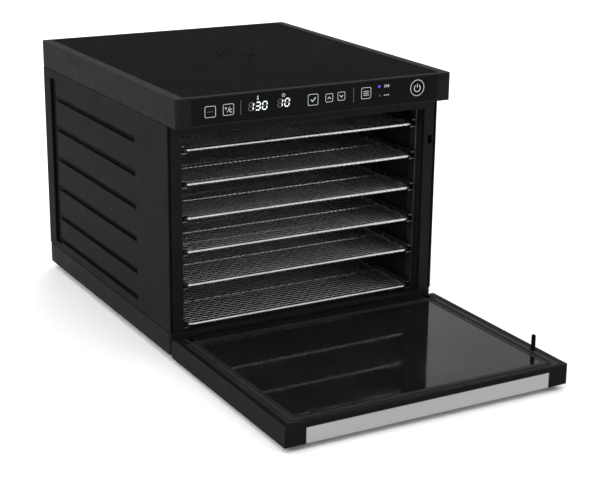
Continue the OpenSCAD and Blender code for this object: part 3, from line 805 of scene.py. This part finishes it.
# X of each print's middle and its height, in millimetres in the shared frame
MODE_KEY = (-132.4, 283.5)
UNIT_KEY = (-111.1, 284.0)
TICK_KEY = (-8.4, 285.0)
UP_KEY = (11.9, 285.1)
DOWN_KEY = (27.4, 285.6)
SPEED_KEY = (59.3, 286.05)
POWER_KEY = (127.1, 286.0)
THERMOMETER = (-76.2, 292.0)
CLOCK = (-45.0, 293.4)
FAST_LAMP = (76.2, 291.9)
SLOW_LAMP = (77.2, 281.6)
FAST_MARK = (83.0, 291.9)
SLOW_MARK = (86.0, 281.6)
DIVIDERS = ((-96.6, 276.8, 292.6), (43.0, 277.2, 293.6))

# Displays: the text, and the left end, foot, height and step of its figures
FIGURES = {"0": "abcdef", "1": "bc", "3": "abcdg"}
TEMPERATURE = ("130", -87.2, 280.2, 8.4, 8.2)
HOURS = ("10", -52.0, 281.0, 8.3, 8.4)
FIGURE_WIDE = 5.2
FIGURE_LEAN = 0.1
LIT_LINE = 1.15 * MM
UNLIT_LINE = 1.0 * MM
SMALL_LINE = 0.35 * MM
ICON_LINE = 0.5 * MM
BOLD_LINE = 0.7 * MM


def panel_front():
    """The plane of the printed marks: just proud of the panel, and inside the cover's front."""
    low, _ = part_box("control_panel")
    return low.y - INK_DEEP


def metres(middle, points=((0, 0),)):
    """Points given in millimetres about a print's middle, in metres in the shared frame."""
    return [((middle[0] + x) * MM, (middle[1] + z) * MM) for x, z in points]


def key_outline(bm, middle, wide, tall, front, corner=1.6):
    """Rounded outline of a touch key."""
    (centre_x, centre_z), = metres(middle)
    reach_x = (wide / 2 - corner) * MM
    reach_z = (tall / 2 - corner) * MM
    points = []
    for turn, (sx, sz) in enumerate(((1, 1), (-1, 1), (-1, -1), (1, -1))):
        start = 90 * turn
        points += arc(centre_x + sx * reach_x, centre_z + sz * reach_z, corner * MM, start, start + 90, 4)
    stroke(bm, points, INK, front, closed=True)


def print_line(bm, middle, points, width, front):
    """Line through points in millimetres about a print's middle."""
    stroke(bm, metres(middle, points), width, front)


def print_arc(bm, middle, shift, radius, ends, steps, width, front, closed=False):
    """Arc about a point shifted in millimetres from a print's middle, between two angles in degrees."""
    (x, z), = metres(middle, (shift,))
    stroke(bm, arc(x, z, radius * MM, *ends, steps), width, front, closed=closed)


def dots(bm, middle, step, width, front):
    """Row of three short dashes about a print's middle."""
    for k in (-1, 0, 1):
        print_line(bm, middle, ((step * (k - 0.3), 0), (step * (k + 0.3), 0)), width, front)


def segment_digit(bm, segments, x, z, wide, tall, front, width):
    """The named segments, a to g, of a seven-segment figure that leans a little."""
    half = tall / 2
    ends = {
        "a": ((0, tall), (wide, tall)), "b": ((wide, tall), (wide, half)), "c": ((wide, half), (wide, 0)),
        "d": ((0, 0), (wide, 0)), "e": ((0, 0), (0, half)), "f": ((0, half), (0, tall)),
        "g": ((0, half), (wide, half)),
    }
    for segment in segments:
        start, end = (Vector(p) for p in ends[segment])
        gap = (end - start).normalized() * width * 0.62
        path = [start + gap, (start + end) / 2, end - gap]
        stroke(bm, [(x + p.x + FIGURE_LEAN * p.y, z + p.y) for p in path], width, front)


def build_figures(front):
    """Lit and unlit segments of the temperature and time displays."""
    lit, unlit = bmesh.new(), bmesh.new()
    for text, left, foot, tall, step in (TEMPERATURE, HOURS):
        for k, figure in enumerate(text):
            shown = FIGURES[figure]
            rest = "".join(segment for segment in "abcdefg" if segment not in shown)
            place = ((left + k * step) * MM, foot * MM, FIGURE_WIDE * MM, tall * MM, front)
            segment_digit(lit, shown, *place, LIT_LINE)
            segment_digit(unlit, rest, *place, UNLIT_LINE)
    bright = glow("lit_figures", (0.8, 0.85, 0.92), (0.95, 0.97, 1.0), 0.55)
    # The unlit segments are off, so their faint emission is a painted glow.
    dim = glow("unlit_figures", (0.045, 0.048, 0.03), (0.08, 0.085, 0.05), 0.3)
    piece("display_figures", lit, "cabinet", bright, smooth=False)
    piece("display_unlit", unlit, "cabinet", dim, smooth=False)


def thermometer(bm, front):
    """Bulb, two sides of the stem and its rounded top."""
    print_arc(bm, THERMOMETER, (0, 0), 0.8, (120, 420), 12, ICON_LINE, front)
    for side in (-1, 1):
        print_line(bm, THERMOMETER, ((side * 0.4, 0.8), (side * 0.4, 3.2)), SMALL_LINE, front)
    print_arc(bm, THERMOMETER, (0, 3.2), 0.4, (0, 180), 6, SMALL_LINE, front)


def clock(bm, front):
    print_arc(bm, CLOCK, (0, 0), 1.7, (0, 345), 23, 0.42 * MM, front, closed=True)
    print_line(bm, CLOCK, ((0, 1.1), (0, 0), (0.9, -0.3)), 0.38 * MM, front)


def unit_key(bm, front):
    """Degree ring, slash and open round letter of the unit key."""
    key_outline(bm, UNIT_KEY, 12.4, 11.8, front)
    print_line(bm, UNIT_KEY, ((1.7, 3), (-1.7, -3)), ICON_LINE, front)
    print_arc(bm, UNIT_KEY, (-3.1, 1.6), 0.9, (0, 330), 11, 0.45 * MM, front, closed=True)
    print_arc(bm, UNIT_KEY, (3.1, -1.4), 1.7, (50, 310), 10, 0.6 * MM, front)


def setting_keys(bm, front):
    """Tick key, and the up and down keys beside it."""
    key_outline(bm, TICK_KEY, 12.4, 12.0, front)
    print_line(bm, TICK_KEY, ((-2.6, 0.2), (-0.7, -1.9), (3.0, 2.2)), 0.8 * MM, front)
    for middle, way, lift in ((UP_KEY, 1, -0.3), (DOWN_KEY, -1, 0.2)):
        key_outline(bm, middle, 9.0, 9.0, front, corner=1.3)
        points = ((-2.0, lift - 0.9 * way), (0, lift + 1.2 * way), (2.0, lift - 0.9 * way))
        print_line(bm, middle, points, BOLD_LINE, front)


def speed_key(bm, front):
    """Key with three wavy lines, and the arrows and dashes beside its two lamps."""
    key_outline(bm, SPEED_KEY, 12.2, 12.3, front)
    for row in (-1, 0, 1):
        lift = -0.15 + 2.2 * row
        wave = [(k - 3.5, lift + 0.45 * math.sin(1.57 * k)) for k in range(8)]
        print_line(bm, SPEED_KEY, wave, ICON_LINE, front)
    for k in range(3):
        start = 2.4 * k
        print_line(bm, FAST_MARK, ((start, 1.5), (start + 1.5, 0), (start, -1.5)), 0.6 * MM, front)
    dots(bm, SLOW_MARK, 2.6, 0.8 * MM, front)


def power_key(bm, front):
    """Ring with the usual power sign."""
    print_arc(bm, POWER_KEY, (0, 0), 9.0, (0, 352.5), 47, 0.55 * MM, front, closed=True)
    print_arc(bm, POWER_KEY, (0, -0.4), 4.0, (125, 415), 24, BOLD_LINE, front)
    print_line(bm, POWER_KEY, ((0, 0.4), (0, 4.6)), BOLD_LINE, front)


def build_keys(front):
    """White outlines and icons of the touch keys, with generic icons in place of words."""
    bm = bmesh.new()
    key_outline(bm, MODE_KEY, 12.4, 11.8, front)
    for draw in (unit_key, thermometer, clock, setting_keys, speed_key, power_key):
        draw(bm, front)
    white = glow("white_print", (0.5, 0.52, 0.53), (0.65, 0.67, 0.68), 0.3)
    piece("key_prints", bm, "cabinet", white, smooth=False)


def build_faint_marks(front):
    """Dividers and the first key's dim icon."""
    bm = bmesh.new()
    for x, low, high in DIVIDERS:
        stroke(bm, [(x * MM, low * MM), (x * MM, high * MM)], ICON_LINE, front)
    dots(bm, MODE_KEY, 2.4, BOLD_LINE, front)
    faint = glow("faint_print", (0.08, 0.08, 0.08), (0.14, 0.14, 0.14), 0.1)
    piece("faint_prints", bm, "cabinet", faint, smooth=False)


def lamp(name, middle, radius, material, front):
    """Small round lamp lens, domed by a fraction of a millimetre."""
    (x, z), = metres(middle)
    bm = bmesh.new()
    place = Matrix.Translation((x, front + INK_DEEP, z)) @ Matrix.Rotation(math.radians(90), 4, "X")
    lathe(bm, [(radius, 0), (radius * 0.8, INK_DEEP * 0.7), (0, INK_DEEP)], 20, place)
    piece(name, bm, "cabinet", material)


def build_panel():
    front = panel_front()
    build_figures(front)
    build_keys(front)
    build_faint_marks(front)
    blue = glow("blue_lamp", (0.05, 0.03, 0.45), (0.09, 0.05, 0.6), 0.8)
    lamp("lamp_lit", FAST_LAMP, 1.5 * MM, blue, front)
    # The unlit lamp is off, so its faint emission is a painted glow.
    dark = glow("dark_lamp", (0.02, 0.02, 0.03), (0.04, 0.04, 0.055), 0.2)
    lamp("lamp_unlit", SLOW_LAMP, 1.2 * MM, dark, front)


# ---- door details ----

def build_door_ribs(material):
    """Row of short slanted ribs along the inner face's front rim, placed with the door open."""
    low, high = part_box("door_frame")
    strip_low, strip_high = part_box("door_handle_strip")
    pitch, half_wide, long, lean = 3.8 * MM, 0.65 * MM, 4.2 * MM, 1.5 * MM
    sunk, tall, taper = 0.3 * MM, 0.35 * MM, 0.72
    rim = low.y + 0.9 * MM
    count = int((strip_high.x - strip_low.x) / pitch)
    bm = bmesh.new()
    for k in range(count):
        x = (k - (count - 1) / 2) * pitch
        corners = (
            (x - half_wide - lean, rim), (x + half_wide - lean, rim),
            (x + half_wide + lean, rim + long), (x - half_wide + lean, rim + long),
        )
        middle = Vector((x, rim + long / 2))
        foot = [bm.verts.new((*corner, high.z - sunk)) for corner in corners]
        tops = [middle + (Vector(corner) - middle) * taper for corner in corners]
        crown = [bm.verts.new((*top, high.z + tall)) for top in tops]
        bm.faces.new(foot[::-1])
        bm.faces.new(crown)
        for i in range(4):
            j = (i + 1) % 4
            bm.faces.new((foot[i], foot[j], crown[j], crown[i]))
    piece("door_rim_ribs", bm, "door", material, smooth=False)


def build_clips(material):
    """Snap clips of the inner frame: a low pad with two domed studs each."""
    low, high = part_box("door_clips")
    half_long, half_wide, dome, stud_r = 2.4 * MM, 1.0 * MM, 0.3 * MM, 0.8 * MM
    side_x = high.x - half_long
    outer = side_x * 132 / 162
    inner = outer / 3.07
    front, back = low.y + half_wide, high.y - half_wide
    places = [(x, front) for x in (-outer, -inner, inner, outer)]
    places += [(s * side_x, y) for y in (back, back - 82.0 * MM) for s in (-1, 1)]
    bm = bmesh.new()
    for x, y in places:
        top = high.z - 0.25 * MM
        block(bm, (x - half_long, y - half_wide, low.z), (x + half_long, y + half_wide, top))
        for side in (-1, 1):
            at = Matrix.Translation((x + side * 1.3 * MM, y, high.z - dome))
            lathe(bm, [(stud_r, 0), (0.62 * MM, 0.2 * MM), (0, dome)], 14, at)
    piece("door_clip_set", bm, "door", material, ["door_clips"])


# ---- power inlet ----

def build_inlet_pins(material):
    """Metal blades over the inlet's three pins."""
    low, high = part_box("power_inlet")
    middle = (low + high) / 2
    pitch, half_wide, half_tall, long = 7 * MM, 1.08 * MM, 2.08 * MM, 11.5 * MM
    tip = high.y - 3.4 * MM
    bm = bmesh.new()
    for k in (-1, 0, 1):
        x = middle.x + k * pitch
        start = (x - half_wide, tip - long, middle.z - half_tall)
        block(bm, start, (x + half_wide, tip, middle.z + half_tall))
    bmesh.ops.bevel(bm, geom=bm.edges[:], offset=0.25 * MM, segments=2, affect="EDGES")
    piece("inlet_pins", bm, "cabinet", material)


# ---- everything together ----

def finish_cabinet():
    plastic = cabinet_plastic()
    finish_nodes(["base_tray", "back_panel"], plastic, 0.6 * MM)
    finish_nodes(["left_side_panel", "right_side_panel"], side_plastic(), 0.7 * MM)
    finish_node("top_cover", cover_plastic(), 0.9 * MM)
    finish_node("top_plate", top_film(), 0.45 * MM)
    finish_node("front_bezel", bezel_plastic(), 0.6 * MM)
    soft = rubber()
    finish_node("feet", soft, 0.8 * MM)
    finish_node("door_seal", soft, 0.2 * MM)
    finish_nodes(["rear_intake_grille", "power_inlet", "door_switch"], grille_plastic(), 0.3 * MM)
    finish_node("control_panel", touch_glass(), 0.25 * MM)
    finish_node("display_module", display_lens(), 0.3 * MM)
    finish_nodes(["control_board", "power_board"], circuit_board())


def finish_inside():
    sheets = ["liner_left", "liner_right", "liner_top", "liner_floor", "fan_shroud"]
    finish_nodes(sheets, lining(), 0.3 * MM)
    finish_nodes(["left_rail_rack", "right_rail_rack", "inner_grille"], rail_steel(), 0.35 * MM)
    brackets = ["motor_bracket", "hinge_bracket_left", "hinge_bracket_right"]
    finish_nodes(brackets, bracket_steel(), 0.35 * MM)
    finish_nodes(["motor", "temperature_probe"], motor_steel(), 0.4 * MM)
    finish_node("heater_coil", heater_wire())
    finish_nodes(["heater_frame", "thermostat", "thermal_fuse"], mica(), 0.2 * MM)
    finish_node("fan_impeller", fan_aluminium(), 0.25 * MM)
    bright = shaft_steel()
    finish_nodes(["fan_shaft", "hinge_pins"], bright, 0.3 * MM)
    build_inlet_pins(bright)


def finish_door():
    plastic, trim = door_plastic(), door_trim()
    finish_nodes(["door_frame", "door_switch_tab"], plastic, 0.7 * MM)
    finish_node("door_inner_frame", trim, 0.4 * MM)
    finish_nodes(["door_window", "door_inner_pane"], smoked_glass(), 0.3 * MM)
    finish_node("door_handle_strip", handle_metal(), 0.35 * MM)
    build_door_ribs(plastic)
    build_clips(trim)


def add_camera():
    azimuth, elevation = math.radians(CAM_AZIMUTH), math.radians(CAM_ELEVATION)
    back = Vector((
        math.sin(azimuth) * math.cos(elevation),
        -math.cos(azimuth) * math.cos(elevation),
        math.sin(elevation),
    ))
    data = bpy.data.cameras.new("camera")
    data.lens = CAM_LENS
    data.clip_start, data.clip_end = 0.05, 60
    camera = bpy.data.objects.new("camera", data)
    bpy.context.scene.collection.objects.link(camera)
    camera.location = CAM_TARGET + back * CAM_DISTANCE
    camera.rotation_mode = "QUATERNION"
    roll = Quaternion((0, 0, 1), math.radians(CAM_ROLL))
    camera.rotation_quaternion = back.to_track_quat("Z", "Y") @ roll
    bpy.context.scene.camera = camera


def add_light(name, place, size, power, mirrored=True):
    """Round soft light aimed at the cabinet. A fill light isn't mirrored by glossy surfaces."""
    data = bpy.data.lights.new(name, "AREA")
    data.shape = "DISK"
    data.size = size
    data.energy = power
    light = bpy.data.objects.new(name, data)
    light.location = place
    light.visible_camera = False
    light.visible_glossy = mirrored
    light.rotation_mode = "QUATERNION"
    light.rotation_quaternion = (Vector(place) - LIGHT_AIM).to_track_quat("Z", "Y")
    bpy.context.scene.collection.objects.link(light)


def add_studio():
    """Pale floor, white surroundings and soft lights."""
    low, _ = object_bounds()
    bm = bmesh.new()
    bmesh.ops.create_grid(bm, x_segments=8, y_segments=8, size=FLOOR_REACH)
    bmesh.ops.translate(bm, verts=bm.verts, vec=(0, 0, low.z))
    mesh = bpy.data.meshes.new("floor")
    bm.to_mesh(mesh)
    bm.free()
    mesh.materials.append(floor_finish())
    floor = bpy.data.objects.new("floor", mesh)
    bpy.context.scene.collection.objects.link(floor)
    world = bpy.data.worlds.new("studio")
    world.use_nodes = True
    sky = world.node_tree.nodes["Background"]
    sky.inputs["Color"].default_value = (1, 1, 1, 1)
    sky.inputs["Strength"].default_value = SKY_STRENGTH
    bpy.context.scene.world = world
    add_light("key", (-0.82, -0.5, 0.6), 0.5, 2.6)
    add_light("top", (-0.4, 0.1, 2.6), 2.4, 18)
    add_light("side", (1.9, -0.3, 1.3), 1.2, 16, mirrored=False)
    add_light("back_right", (1.1, 2.0, 1.1), 1.2, 18, mirrored=False)
    add_light("back_left", (-1.6, 1.9, 1.0), 1.2, 12, mirrored=False)
    bpy.context.scene.view_settings.view_transform = "Standard"


def main():
    add_camera()
    finish_cabinet()
    finish_inside()
    finish_door()
    build_trays()
    build_screws()
    build_panel()
    add_studio()


main()
